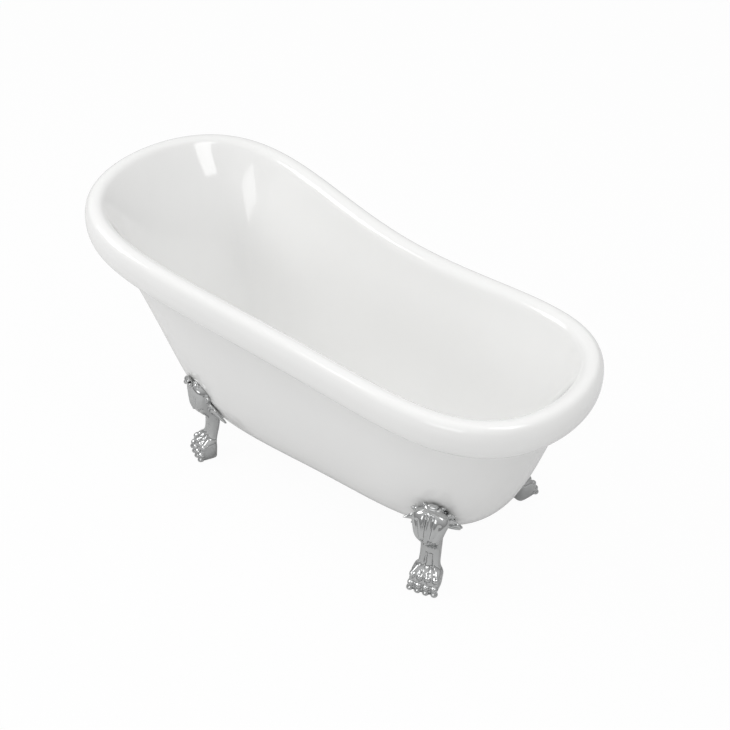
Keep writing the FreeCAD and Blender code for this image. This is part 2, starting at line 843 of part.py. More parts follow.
plate_face = -plate_lift - overflow_plate_depth
plate = rod(overflow_plate_radius, on_overflow_axis(plate_face), on_overflow_axis(6))
plate = plate.cut(rod(overflow_plate_radius - plate_wall, on_overflow_axis(plate_face + plate_wall),
                      on_overflow_axis(6)))
plate = plate.fuse(rod(cover_screw_radius + 4.0, on_overflow_axis(plate_face), on_overflow_axis(0)))
plate = plate.cut(rod(cover_screw_radius + stud_clearance, on_overflow_axis(plate_face - 1),
                      on_overflow_axis(2)))
for i in range(overflow_slot_count):
    y = (i - (overflow_slot_count - 1) / 2) * overflow_slot_pitch
    slot = Part.makeBox(overflow_slot_length, overflow_slot_width, 12,
                        Vector(cover_screw_radius + 6.0, y - overflow_slot_width / 2, -3))
    slot.Placement = FreeCAD.Placement(
        on_overflow_axis(plate_face),
        Rotation(overflow_down, Vector(0, 1, 0).cross(overflow_down) * -1, overflow_out, "XZY"),
    )
    plate = plate.cut(slot)
save(plate.common(bowl_inner_room), "overflow_faceplate")

screw_head = rod(cover_head_radius, on_overflow_axis(plate_face - cover_head_height),
                 on_overflow_axis(plate_face))
save(
    screw_head.fuse(rod(cover_screw_radius, on_overflow_axis(plate_face), on_overflow_axis(8.5))),
    "overflow_screw",
)

pipe_top = along_overflow(spigot_depth, spigot_drop - pipe_socket + flat_gap)
pipe_end = stub_end - Vector(pipe_socket - flat_gap, 0, 0)
fall = pipe_top.z - pipe_height
corner = pipe_top + overflow_down * (fall / -overflow_down.z)
turn = overflow_down.getAngle(Vector(-1, 0, 0))
tangent = pipe_bend_radius * math.tan(turn / 2)
bend_start = corner - overflow_down * tangent
bend_end = corner - Vector(tangent, 0, 0)
bisector = (bend_start + bend_end) * 0.5 - corner
bend_middle = corner + bisector.normalize() * (pipe_bend_radius / math.cos(turn / 2) - pipe_bend_radius)
path = Part.Wire([
    Part.makeLine(pipe_top, bend_start),
    Part.Arc(bend_start, bend_middle, bend_end).toShape(),
    Part.makeLine(bend_end, pipe_end),
])


def bent(radius):
    """A bar that follows the pipe's route."""
    circle = Part.Wire([Part.Circle(pipe_top, overflow_down, radius).toShape()])
    return path.makePipeShell([circle], True, False)


save(bent(pipe_radius).cut(bent(pipe_radius - pipe_wall)), "overflow_pipe")

nuts = []
for end, inward in ((spigot_end, overflow_down * -1), (stub_end, Vector(-1, 0, 0))):
    cap = rod(union_nut_radius, end - inward * union_nut_cap, end + inward * union_nut_length)
    nuts.append(cap.cut([
        rod(spigot_radius + screw_fit, end, end + inward * union_nut_length),
        rod(pipe_radius + flat_gap, end - inward * union_nut_cap, end),
    ]))
save(Part.makeCompound(nuts), "overflow_union_nuts")
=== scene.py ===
# %% [markdown]
# # A slipper bathtub on four claw feet
# The tub is two sheets of white acrylic with a rolled rim, four chromed lion feet that
# bolt to the outer sheet, and a waste and overflow that the rim hides from the front.
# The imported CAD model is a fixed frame: its parts say where everything sits, and the
# pieces made here stand in for the ones whose shape deserves a finer surface.

# %% Load the frame
import json
import math

import bmesh
import bpy
import numpy as np
from mathutils import Matrix, Vector
from mathutils.bvhtree import BVHTree


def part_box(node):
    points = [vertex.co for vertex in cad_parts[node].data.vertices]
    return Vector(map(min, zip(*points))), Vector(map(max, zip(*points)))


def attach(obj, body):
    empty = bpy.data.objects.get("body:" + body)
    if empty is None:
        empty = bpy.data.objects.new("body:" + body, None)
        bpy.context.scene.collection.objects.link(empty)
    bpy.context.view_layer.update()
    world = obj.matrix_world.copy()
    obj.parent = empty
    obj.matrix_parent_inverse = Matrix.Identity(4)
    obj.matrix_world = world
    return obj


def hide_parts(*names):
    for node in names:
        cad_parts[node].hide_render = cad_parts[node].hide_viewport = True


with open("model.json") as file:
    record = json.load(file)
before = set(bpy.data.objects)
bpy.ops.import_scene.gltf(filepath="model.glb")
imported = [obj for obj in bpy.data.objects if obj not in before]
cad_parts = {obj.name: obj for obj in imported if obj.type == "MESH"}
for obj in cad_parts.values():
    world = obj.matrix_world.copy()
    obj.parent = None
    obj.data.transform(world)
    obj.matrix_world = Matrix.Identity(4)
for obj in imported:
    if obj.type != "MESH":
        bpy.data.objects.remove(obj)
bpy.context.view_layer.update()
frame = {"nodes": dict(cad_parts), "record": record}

nodes = frame["nodes"]

# %% [markdown]
# ## Sizes
# These are the real sizes in millimetres that the walls follow. The rim is a graph of
# height and width along the tub, as a boat builder lofts a sheer line: five numbers each,
# with one smooth curve through them. A ruler's worth of numbers keeps the long curves
# fair, which a hand-pushed mesh seldom is.

# %% Sizes of the two shells
MM = 0.001
half_run = 723.0
quarter_widening = math.sqrt(0.75)
rim_half_widths = (570.0, 318.0 / quarter_widening, 279.0, 279.0 / quarter_widening, 503.0)
rim_heights = (714.0, 651.0, 586.0, 564.0, 568.0)
paint_allowance = 0.3
roll_outer_half_width = 27.0 - paint_allowance
roll_inner_half_width = 37.0
roll_half_height = 48.0 - paint_allowance
roll_squareness = 2.35
roll_share = 0.29
skin_bottom = {"head": 316.0, "drain": 384.0, "half_width": 106.0, "height": 90.0}
bowl_bottom = {"head": 285.0, "drain": 330.0, "half_width": 88.0, "height": 140.0}
sheet_thickness = 5.0
seam_inset, seam_drop, skin_tuck, bond_gap = 32.0, 47.0, 20.0, 0.4
skin_slope, skin_belly, skin_upper_pull = (0.085, 0.74, 0.31), (0.66, 0.485, 0.728), 0.73
bowl_slope, bowl_round, bowl_upper_pull = (0.20, 0.80, 0.52), (0.62, 0.42, 0.42), 0.55


# %% A fair curve through five values
def fair_slopes(values):
    """Slopes, per step, that make the curve through five evenly spaced values smooth."""
    y = values
    first = (-11 * y[0] + 18 * y[1] - 9 * y[2] + 2 * y[3]) / 6
    last = (11 * y[4] - 18 * y[3] + 9 * y[2] - 2 * y[1]) / 6
    pulls = [3 * (y[i + 1] - y[i - 1]) for i in (1, 2, 3)]
    pulls[0] -= first
    pulls[2] -= last
    inner = np.linalg.solve(np.array([[4, 1, 0], [1, 4, 1], [0, 1, 4]], float), pulls)
    return [first, *inner, last]


def fair_value(values, slopes, x):
    """The curve's value at a place along the tub."""
    place = (x + half_run) / (half_run / 2)
    i = min(3, max(0, int(place)))
    t = place - i
    return ((2 * t**3 - 3 * t * t + 1) * values[i] + (t**3 - 2 * t * t + t) * slopes[i]
            + (3 * t * t - 2 * t**3) * values[i + 1] + (t**3 - t * t) * slopes[i + 1])


width_slopes, height_slopes = fair_slopes(rim_half_widths), fair_slopes(rim_heights)
print("rim height at the middle:", round(fair_value(rim_heights, height_slopes, 0.0), 1), "mm")


# %% The rim line
def rim_point(angle):
    """The roll's centre line: angle 0 is the drain end, half a turn is the head end."""
    x = half_run * math.cos(angle)
    y = fair_value(rim_half_widths, width_slopes, x) * math.sin(angle)
    return Vector((x, y, fair_value(rim_heights, height_slopes, x)))


def rim_outward(angle):
    """The level direction out of the tub, square to the rim."""
    step = 1e-4
    along = rim_point(angle + step) - rim_point(angle - step)
    return Vector((along.y, -along.x, 0)).normalized()


# %% The walls under the rim
def blend(values, angle):
    """Goes smoothly from the side's value to the head end's or the drain end's."""
    side, head, drain = values
    end = head if math.cos(angle) < 0 else drain
    return side + (end - side) * math.cos(angle) ** 2


def floor_point(angle, floor):
    """A point on the oval edge of a flat floor."""
    centre = (floor["drain"] - floor["head"]) / 2
    half_length = (floor["drain"] + floor["head"]) / 2
    return Vector((centre + half_length * math.cos(angle),
                   floor["half_width"] * math.sin(angle), floor["height"]))


def cubic(a, b, c, d, s):
    """A point of the cubic curve with four control points."""
    r = 1 - s
    return a * r**3 + b * (3 * r * r * s) + c * (3 * r * s * s) + d * s**3


def skin_point(angle, s):
    """The outer skin's outside, from its flat bottom (0) to its top edge (1)."""
    slope = blend(skin_slope, angle)
    top = rim_point(angle) - rim_outward(angle) * (seam_inset - skin_tuck * slope)
    top.z -= seam_drop - skin_tuck
    bottom = floor_point(angle, skin_bottom)
    run = Vector((top.x - bottom.x, top.y - bottom.y, 0))
    rise = Vector((0, 0, top.z - bottom.z))
    lean = run.normalized() * (rise.z * slope)
    return cubic(bottom, bottom + run * blend(skin_belly, angle),
                 top - (lean + rise) * skin_upper_pull, top, s)


def roll_point(angle, turn):
    """The roll's outside: turn 0 faces out, 90 is the crest, 180 faces the bowl."""
    c, s = math.cos(math.radians(turn)), math.sin(math.radians(turn))
    power = 2 / roll_squareness
    half_width = roll_outer_half_width if c > 0 else roll_inner_half_width
    sideways = math.copysign(half_width * abs(c) ** power, c)
    upward = math.copysign(roll_half_height * abs(s) ** power, s)
    return rim_point(angle) + rim_outward(angle) * sideways + Vector((0, 0, upward))


def join_turn(angle):
    """Where the roll's inner side leans as much as the bowl's wall."""
    ratio = blend(bowl_slope, angle) * roll_half_height / roll_inner_half_width
    return 180 - math.degrees(math.atan(ratio ** (1 / (2 - 2 / roll_squareness))))


def bowl_point(angle, s):
    """The wetted side of the bowl, from the floor's edge (0) up to the roll (1)."""
    top = roll_point(angle, join_turn(angle))
    bottom = floor_point(angle, bowl_bottom)
    run = Vector((top.x - bottom.x, top.y - bottom.y, 0))
    rise = Vector((0, 0, top.z - bottom.z))
    lean = rim_outward(angle) * (rise.z * blend(bowl_slope, angle))
    return cubic(bottom, bottom + run * blend(bowl_round, angle),
                 top - (lean + rise) * bowl_upper_pull, top, s)


def shell_point(angle, s):
    """The bowl up to 1, then the roll down to its underside."""
    if s <= 1:
        return bowl_point(angle, s)
    start = join_turn(angle)
    return roll_point(angle, start + (-90 - start) * (s - 1) / roll_share)


def offset_point(surface, angle, s, distance):
    """A point moved square off a wall, away from the bowl where the distance is positive."""
    if s == 0.0 or distance == 0.0:
        return surface(angle, s) - Vector((0, 0, distance))
    step = 1e-3
    across = surface(angle + step, s) - surface(angle - step, s)
    along = surface(angle, s + step) - surface(angle, s - step)
    return surface(angle, s) + across.cross(along).normalized() * distance


def lip_point(angle, height):
    """The roll's returned edge, bonded against the outer skin, some way above the seam."""
    rise = rim_point(angle).z - seam_drop + skin_tuck - skin_bottom["height"]
    share = 1 - (skin_tuck - height) / (3 * skin_upper_pull * rise)
    return offset_point(skin_point, angle, share, bond_gap)


print("head end of the roll:", [round(v) for v in roll_point(math.pi, 90)], "mm")

# %% [markdown]
# ## The two acrylic sheets
# A bath like this is vacuum formed: a heated sheet of acrylic is drawn over a mould, so
# its surface is one unbroken sweep with a high shine, and any flat facet would show at
# once in the reflections. Each sheet here is a grid that is rolled round the tub. Its
# columns run up the wall, its rows run round the rim, and every vertex is put on the
# fair surface. The grid carries on over the back of the sheet, so the mesh is closed and
# has its real thickness.

# %% The rows of the two grids
columns = 240


def even(first, last, count):
    """Evenly spaced values, both ends included."""
    return [first + (last - first) * i / (count - 1) for i in range(count)]


def floor_row(surface, floor, distance):
    """A function for rows on a flat floor: 0 is its middle, 1 its edge."""
    def place(angle, share):
        edge = surface(angle, 0.0) - Vector((0, 0, distance))
        middle = Vector(((floor["drain"] - floor["head"]) / 2, 0, edge.z))
        return middle + (edge - middle) * share
    return place


def wall_row(surface, distance):
    """A function for rows on a wall."""
    return lambda angle, s: offset_point(surface, angle, s, distance)


def lip_row(depth):
    """A function for rows from the roll's underside (0) to the bonded lip (1)."""
    def place(angle, share):
        under = offset_point(shell_point, angle, 1 + roll_share, depth)
        return under.lerp(lip_point(angle, depth), share)
    return place


roll_rows = [1 + roll_share * v for v in even(0, 1, 41)[1:]]
shell_rows = (
    [(floor_row(bowl_point, bowl_bottom, 0.0), v) for v in even(0, 1, 9)[:-1]]
    + [(wall_row(shell_point, 0.0), v) for v in even(0, 1, 45)]
    + [(wall_row(shell_point, 0.0), v) for v in roll_rows]
    + [(lip_row(0.0), v) for v in (0.3, 0.65, 0.92, 1.0)]
    + [(lip_row(sheet_thickness), v) for v in (1.0, 0.92, 0.5)]
    + [(wall_row(shell_point, sheet_thickness), v) for v in roll_rows[::-4]]
    + [(wall_row(shell_point, sheet_thickness), v) for v in even(1, 0, 24)]
    + [(floor_row(bowl_point, bowl_bottom, sheet_thickness), v) for v in even(1, 0, 5)[1:]]
)
skin_rows = (
    [(floor_row(skin_point, skin_bottom, 0.0), v) for v in even(0, 1, 9)[:-1]]
    + [(wall_row(skin_point, 0.0), v) for v in even(0, 1, 57)]
    + [(wall_row(skin_point, -sheet_thickness), v) for v in even(1, 0, 24)]
    + [(floor_row(skin_point, skin_bottom, -sheet_thickness), v) for v in even(1, 0, 5)[1:]]
)
print("rows:", len(shell_rows), "for the bowl,", len(skin_rows), "for the skin")


# %% Roll a grid into a sheet
def formed_sheet(name, rows):
    """A closed mesh from a grid whose vertices are put on the rows' surfaces."""
    work = bmesh.new()
    bmesh.ops.create_grid(work, x_segments=columns, y_segments=len(rows) - 1, size=0.5)
    for vertex in work.verts:
        column = round((vertex.co.x + 0.5) * columns)
        place, value = rows[round((vertex.co.y + 0.5) * (len(rows) - 1))]
        vertex.co = place(2 * math.pi * column / columns, value) * MM
    bmesh.ops.remove_doubles(work, verts=work.verts, dist=2e-6)
    bmesh.ops.recalc_face_normals(work, faces=work.faces)
    for face in work.faces:
        face.smooth = True
    mesh = bpy.data.meshes.new(name)
    work.to_mesh(mesh)
    work.free()
    piece = bpy.data.objects.new(name, mesh)
    bpy.context.scene.collection.objects.link(piece)
    print(name, "has", len(mesh.polygons), "faces")
    return piece


bowl = formed_sheet("acrylic_bowl", shell_rows)
skin = formed_sheet("acrylic_skin", skin_rows)

# %% [markdown]
# ## Holes
# The fitter drills the sheets for the waste and the overflow with hole saws. A Boolean
# modifier does the same cut, and is applied so that the finished mesh holds the hole.


# %% Drill the sheets
def link(name, work):
    """Puts a bmesh into the scene as an object."""
    mesh = bpy.data.meshes.new(name)
    work.to_mesh(mesh)
    work.free()
    made = bpy.data.objects.new(name, mesh)
    bpy.context.scene.collection.objects.link(made)
    return made


def with_modifiers(piece):
    """Replaces a piece's mesh by what its modifiers make of it."""
    shape = piece.evaluated_get(bpy.context.evaluated_depsgraph_get())
    mesh = bpy.data.meshes.new_from_object(shape)
    piece.modifiers.clear()
    piece.data = mesh
    mesh.name = piece.name


def drill(piece, radius, start, end, sides=64):
    """Cuts a round hole, given in metres, through a piece."""
    along = Vector(end) - Vector(start)
    place = Matrix.Translation(Vector(start) + along / 2)
    turn = along.to_track_quat("Z", "Y").to_matrix().to_4x4()
    work = bmesh.new()
    bmesh.ops.create_cone(work, cap_ends=True, segments=sides, radius1=radius,
                          radius2=radius, depth=along.length, matrix=place @ turn)
    tool = link("drill", work)
    cut = piece.modifiers.new("hole", "BOOLEAN")
    cut.operation, cut.solver, cut.object = "DIFFERENCE", "EXACT", tool
    with_modifiers(piece)
    bpy.data.objects.remove(tool)


waste_low, waste_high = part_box("waste_flange")
waste_x = (waste_low.x + waste_high.x) / 2
waste_hole_radius = 25.5 * MM
skin_hole_radius = 33.0 * MM
overflow_hole_radius = 18.0 * MM
overflow_axis = Vector((0.8926, 0.0, -0.4508))
overflow_centre = Vector((0.62575, 0.0, 0.468))
drill(bowl, waste_hole_radius, (waste_x, 0, 0.12), (waste_x, 0, 0.16))
drill(bowl, overflow_hole_radius, overflow_centre - overflow_axis * 0.02,
      overflow_centre + overflow_axis * 0.02)
drill(skin, skin_hole_radius, (waste_x, 0, 0.08), (waste_x, 0, 0.11))
print("bowl faces after drilling:", len(bowl.data.polygons))

# %% [markdown]
# ## Claw feet
# The feet are sand castings that are ground, polished and chromed. The pattern maker
# carves a lion's paw under a mounting leaf, so the forms are soft and full, with deep
# creases between them. Clay is the natural way to get that: a core, beads and strings of
# clay pressed onto it, one voxel remesh that melts all of it together, and then creases
# drawn into the result.
#
# A foot is shaped in its own frame: X points away from the tub, Y runs across, Z is up.
# The screws stay where the CAD has them, but the castings are set some millimetres off
# the CAD castings, to follow the photograph. The right way is to move the CAD casting.

# %% Where the feet stand
# the levelling screws' axes and the feet's headings, in millimetres and degrees
foot_places = {
    "head": (-317.0, -214.0, -108.0),
    "drain": (495.0, -214.0, -75.0),
}
# how far each casting is set off outwards and across from the CAD one, and turned
foot_sets = {
    "head": (-6.0, 0.0, -9.0),
    "drain": (13.0, -7.0, 0.0),
}


def foot_frame(end):
    """The matrix from a foot's own frame to the tub's."""
    x, y, turn = foot_places[end]
    out, across, extra = foot_sets[end]
    return (Matrix.Translation((x * MM, y * MM, 0))
            @ Matrix.Rotation(math.radians(turn + extra), 4, "Z")
            @ Matrix.Translation((out * MM, across * MM, 0)))


# %% Beads and strings of clay
def bead(clay, centre, radii):
    """An egg of clay: its centre and radii in millimetres."""
    clay.append((Vector(centre), Vector(radii)))


def press(work, clay):
    """Presses every bead of clay onto the work, each as a small ball of its own."""
    ball = bmesh.new()
    bmesh.ops.create_icosphere(ball, subdivisions=2, radius=1.0)
    mesh = bpy.data.meshes.new("ball")
    for centre, radii in clay:
        one = ball.copy()
        one.transform(Matrix.Translation(centre * MM) @ Matrix.Diagonal((*(radii * MM), 1.0)))
        one.to_mesh(mesh)
        one.free()
        work.from_mesh(mesh)
    ball.free()
    bpy.data.meshes.remove(mesh)


def along(points, t):
    """A point on a smooth line through points, whose numbers may include a radius."""
    last = len(points) - 1
    i = min(int(t * last), last - 1)
    u = t * last - i
    a, b, c, d = (np.array(points[min(max(i + k, 0), last)], float) for k in (-1, 0, 1, 2))
    return 0.5 * (2 * b + (c - a) * u + (2 * a - 5 * b + 4 * c - d) * u * u
                  + (3 * b - 3 * c + d - a) * u**3)


def string(clay, points):
    """A string of round clay beads through points of (x, y, z, radius)."""
    lengths = [math.dist(a[:3], b[:3]) for a, b in zip(points, points[1:])]
    thinnest = max(1.0, min(p[3] for p in points))
    count = max(4, int(sum(lengths) / (thinnest + 1.0) * 1.2))
    for i in range(count + 1):
        x, y, z, radius = along(points, i / count)
        bead(clay, (x, y, z), (radius, radius, radius))


# %% The core: sole, ankle, shank and knee
knee_height = 215.0
lean_start, lean_run = 196.0, 86.0
heel_height = 80.0
# how much the part above the knee is shortened and how far it leans back, how far the
# leaf's tips hang down and stand off, and how far the sole reaches back
foot_builds = {
    "head": {"rise": 1.0, "lean": 0.0, "droop": 24.0, "flare": 6.0, "swing": 0.0, "heel": 0.0},
    "drain": {"rise": 0.75, "lean": 30.0, "droop": 0.0, "flare": 22.0, "swing": -6.0, "heel": 9.0},
}


def raised(height, rise):
    """A height above the knee, brought down for a lower leaf."""
    if height < knee_height:
        return height
    return knee_height + (height - knee_height) * rise


def core(work, rings, build, sides=44):
    """A block of clay from rings of (height, back, front, half width, squareness), in mm."""
    rows = 6 * (len(rings) - 1)
    made = bmesh.ops.create_grid(work, x_segments=sides, y_segments=rows, size=0.5)["verts"]
    for vertex in made:
        angle = 2 * math.pi * round((vertex.co.x + 0.5) * sides) / sides
        row = round((vertex.co.y + 0.5) * rows) / rows
        height, back, front, half_width, power = along(rings, row)
        front -= build["lean"] * max(0.0, (height - lean_start) / lean_run)
        back += build["heel"] * max(0.0, 1 - height / heel_height)
        c, s = round(math.cos(angle), 9), round(math.sin(angle), 9)
        x = (front - back) / 2 + (front + back) / 2 * math.copysign(abs(c) ** power, c)
        y = half_width * math.copysign(abs(s) ** power, s)
        vertex.co = Vector((x, y, raised(height, build["rise"]))) * MM
    bmesh.ops.remove_doubles(work, verts=made, dist=2e-6)
    rims = [e for e in work.edges if e.is_boundary]
    bmesh.ops.holes_fill(work, edges=rims, sides=0)


paw_rings = (
    (1.6, 24.0, 29.0, 36.0, 0.40),
    (18.0, 25.0, 30.0, 38.0, 0.40),
    (38.0, 26.0, 24.0, 40.0, 0.42),
    (51.0, 26.0, 18.0, 40.0, 0.45),
    (59.0, 27.0, 9.0, 37.0, 0.50),
    (66.0, 30.0, 0.0, 31.0, 0.55),
    (78.0, 34.0, -5.0, 28.0, 0.60),
    (104.0, 41.0, -8.0, 27.0, 0.60),
    (130.0, 45.0, -8.0, 27.0, 0.60),
    (150.0, 45.0, -1.0, 28.0, 0.62),
    (163.0, 43.0, 12.0, 30.0, 0.66),
    (178.0, 38.0, 25.0, 34.0, 0.70),
    (196.0, 34.0, 33.0, 39.0, 0.75),
    (218.0, 32.0, 36.0, 45.0, 0.80),
    (240.0, 30.0, 37.0, 49.0, 0.82),
    (258.0, 28.0, 36.0, 44.0, 0.82),
    (270.0, 24.0, 33.0, 32.0, 0.82),
    (278.0, 18.0, 26.0, 18.0, 0.82),
)
print("paw is", round(2 * max(r[3] for r in paw_rings[:6])), "mm wide")

# %% [markdown]
# ### Toes
# Four toes, each with two round knuckles, a dip between them and a blunt claw that
# reaches the floor. Tendons run from the toes up into the ankle.

# %% Toes and tendons
toe_places = (-31.0, -10.4, 10.4, 31.0)


def toes(clay):
    """Four toes, each with two rows of knuckles and a blunt claw, and their tendons."""
    for across in toe_places:
        back = abs(across) * 0.10
        bead(clay, (17.5 - back, across, 46), (12.5, 10.9, 10.0))
        bead(clay, (21 - back, across, 35), (9.5, 9.6, 6.0))
        bead(clay, (27 - back, across * 1.02, 24), (12.5, 10.9, 9.4))
        bead(clay, (31 - back, across * 1.05, 12.0), (9.5, 9.9, 6.0))
        bead(clay, (31.5 - back, across * 1.08, 9.0), (11.0, 10.2, 7.2))
        string(clay, [(12 - back, across * 0.90, 52, 8.0), (0 - back, across * 0.72, 60, 8.0),
                      (-9, across * 0.56, 72, 6.0), (-14, across * 0.50, 92, 5.0)])


# %% [markdown]
# ### The mounting leaf
# The leaf lies on the tub behind the knee, and its lobes flare away from the wall to
# pointed tips. Each lobe is a row of flattened beads: a ray finds the outer skin under
# each bead, so the same strokes fit both ends of the tub. The top is an open scroll.

# %% Strokes on the leaf
def wall_reader(end):
    """A function that says how far out the outer skin is at (across, height), in mm."""
    work = bmesh.new()
    work.from_mesh(skin.data)
    work.transform(foot_frame(end).inverted())
    tree = BVHTree.FromBMesh(work)
    work.free()

    def wall(across, height):
        hit = tree.ray_cast(Vector((200, across, height)) * MM, Vector((-1, 0, 0)))[0]
        return hit.x / MM if hit else None
    return wall


# each lobe's points: across, height, half width
leaf_lobes = (
    ((8, 200, 20), (30, 200, 18), (48, 197, 13), (60, 193, 8.5), (69, 190, 4.5), (75, 189, 2.0)),
    ((8, 182, 15), (26, 178, 13), (40, 171, 10), (51, 165, 6.5), (58, 161, 3.5), (62, 159, 2.0)),
    ((8, 214, 20), (26, 226, 18), (40, 236, 13), (48, 243, 8), (53, 248, 5)),
    ((3, 230, 18), (12, 250, 15), (20, 265, 10), (25, 274, 6)),
)
leaf_thickness, rib_height, leaf_stand = 5.0, 3.4, 6.5
tip_reach, tip_bend = 76.0, 2.2
beads_per_lobe, beads_per_scroll = 24, 10


def leaf(clay, wall, build):
    """The leaf's lobes and the scroll at its top, for one end's build."""
    def placed(across, height):
        share = min(1.0, abs(across) / tip_reach) ** tip_bend
        moved = across + build["swing"] * share
        height = raised(height, build["rise"]) - build["droop"] * share
        return wall(moved, height) + leaf_stand + build["flare"] * share, moved, height

    for lobe in leaf_lobes:
        for side in (-1, 1):
            points = [(*placed(side * across, height), half_width)
                      for across, height, half_width in lobe]
            for i in range(beads_per_lobe + 1):
                out, across, height, half_width = along(points, i / beads_per_lobe)
                thick = min(leaf_thickness, half_width + 0.6)
                bead(clay, (out, across, height), (thick, half_width, half_width))
            # a rounded rib down the middle of the lobe
            string(clay, [(out + rib_height, across, height, max(1.5, half_width * 0.22))
                          for out, across, height, half_width in points])
    out, across, top = placed(0.0, 278.0)
    for i in range(beads_per_scroll):
        turn = math.radians(190 - 32 * i)
        reach = 8.5 - 0.35 * i
        place = (out + 9 + reach * math.cos(turn), 0, top + 1 + reach * math.sin(turn))
        bead(clay, place, (3.0, 15.0, 3.0))
    for side in (-1, 1):
        bead(clay, (out + 8, side * 17, top - 3), (7.5, 6.5, 7.5))
        out_side, across, shoulder = placed(side * 42.0, 250.0)
        bead(clay, (out_side + 5, across, shoulder), (7.0, 8.0, 7.0))
    # a pointed lobe where the leaf ends over the shank
    string(clay, [(20, 0, 182, 9.0), (11, 0, 166, 7.5), (1, 0, 152, 4.0)])


# %% Creases drawn after the clay is melted together
creases = (
    # across and height of each point, width and depth of the crease
    (((0, 256), (0, 230), (0, 178)), 3.4, -3.0),
    (((-9, 252), (-10, 230), (-7, 176)), 4.2, 4.0),
    (((9, 252), (10, 230), (7, 176)), 4.2, 4.0),
    (((-14, 178), (-24, 206), (-30, 236)), 4.2, 4.0),
    (((14, 178), (24, 206), (30, 236)), 4.2, 4.0),
    (((-18, 172), (-36, 190), (-56, 202)), 4.0, 3.4),
    (((18, 172), (36, 190), (56, 202)), 4.0, 3.4),
    (((-12, 148), (-11, 120), (-9, 92)), 4.6, 2.6),
    (((12, 148), (11, 120), (9, 92)), 4.6, 2.6),
    (((-7, 108), (-8, 84), (-9, 62)), 4.0, 5.0),
    (((7, 108), (8, 84), (9, 62)), 4.0, 5.0),
)


def crease(mesh):
    """Pushes the front of a foot in along the creases, and out where a depth is negative."""
    count = len(mesh.vertices)
    places = np.zeros(count * 3, np.float32)
    mesh.vertices.foreach_get("co", places)
    places = places.reshape(-1, 3).astype(float) / MM
    normals = np.zeros(count * 3, np.float32)
    mesh.vertex_normals.foreach_get("vector", normals)
    normals = normals.reshape(-1, 3).astype(float)
    facing = np.clip(normals[:, 0] * 2.0, 0, 1)
    move = np.zeros(count)
    for points, width, depth in creases:
        nearest = np.full(count, 1e9)
        for (y0, z0), (y1, z1) in zip(points, points[1:]):
            run = np.array([y1 - y0, z1 - z0], float)
            start = places[:, 1:] - np.array([y0, z0], float)
            share = np.clip(start @ run / (run @ run), 0, 1)
            nearest = np.minimum(nearest, np.linalg.norm(start - share[:, None] * run, axis=1))
        push = depth * np.exp(-(nearest / width) ** 2)
        move = np.where(np.abs(push) > np.abs(move), push, move)
    places -= normals * (move * facing)[:, None]
    mesh.vertices.foreach_set("co", (places * MM).astype(np.float32).ravel())
    mesh.update()


# %% Seat a foot on the skin
gasket_thickness = 1.5
seat_from_height = 100 * MM


def seat(mesh, wall):
    """Moves whatever is inside the tub's wall out to the gasket's face."""
    for vertex in mesh.vertices:
        if vertex.co.z > seat_from_height:
            skin_face = wall(vertex.co.y / MM, vertex.co.z / MM)
            if skin_face is not None:
                vertex.co.x = max(vertex.co.x, (skin_face + gasket_thickness) * MM)
    mesh.update()


# %% Model one foot
clay_voxel = 1.5 * MM
walls = {end: wall_reader(end) for end in foot_places}


def casting(end):
    """A whole claw foot for one end of the tub, on its right side."""
    build = foot_builds[end]
    work = bmesh.new()
    core(work, paw_rings, build)
    clay = []
    toes(clay)
    leaf(clay, walls[end], build)
    press(work, clay)
    piece = link(f"claw_foot_casting_{end}_right", work)
    melt = piece.modifiers.new("melt", "REMESH")
    melt.mode, melt.voxel_size, melt.use_smooth_shade = "VOXEL", clay_voxel, True
    soften = piece.modifiers.new("soften", "SMOOTH")
    soften.factor, soften.iterations = 0.5, 4
    with_modifiers(piece)
    crease(piece.data)
    polish = piece.modifiers.new("polish", "SMOOTH")
    polish.factor, polish.iterations = 0.5, 2
    with_modifiers(piece)
    seat(piece.data, walls[end])
    piece.data.transform(foot_frame(end))
    print(piece.name, "has", len(piece.data.polygons), "faces")
    return piece


feet = {(end, "right"): casting(end) for end in foot_places}


# %% The rubber sheets behind the feet
def rubber_pad(end):
    """A rubber sheet between a casting and the skin, as an oval that lies on the wall."""
    half_width, low, high, gap = 46.0, 120.0, 258.0, 0.3
    work = bmesh.new()
    bmesh.ops.create_circle(work, cap_ends=True, segments=64, radius=1.0)
    for _ in range(4):
        bmesh.ops.inset_region(work, faces=[max(work.faces, key=lambda f: len(f.verts))],
                               thickness=0.2, use_even_offset=True)
    middle, reach = (high + low) / 2, (high - low) / 2
    for vertex in work.verts:
        across, height = vertex.co.x * half_width, middle + vertex.co.y * reach
        vertex.co = Vector((walls[end](across, height) + gap, across, height)) * MM
    grown = bmesh.ops.extrude_face_region(work, geom=work.faces[:])
    lifted = [g for g in grown["geom"] if isinstance(g, bmesh.types.BMVert)]
    bmesh.ops.translate(work, verts=lifted, vec=((gasket_thickness - 2 * gap) * MM, 0, 0))
    bmesh.ops.recalc_face_normals(work, faces=work.faces)
    work.transform(foot_frame(end))
    return link(f"rubber_sheet_{end}_right", work)


pads = {(end, "right"): rubber_pad(end) for end in foot_places}
print("rubber sheets:", len(pads))

# %% [markdown]
# ### Fit and mirror
# The paw is drilled and counterbored for its levelling screw and pad, as the real casting
# is. The feet of the other side are mirror castings, so their mesh is mirrored and its
# faces are turned the right way again.

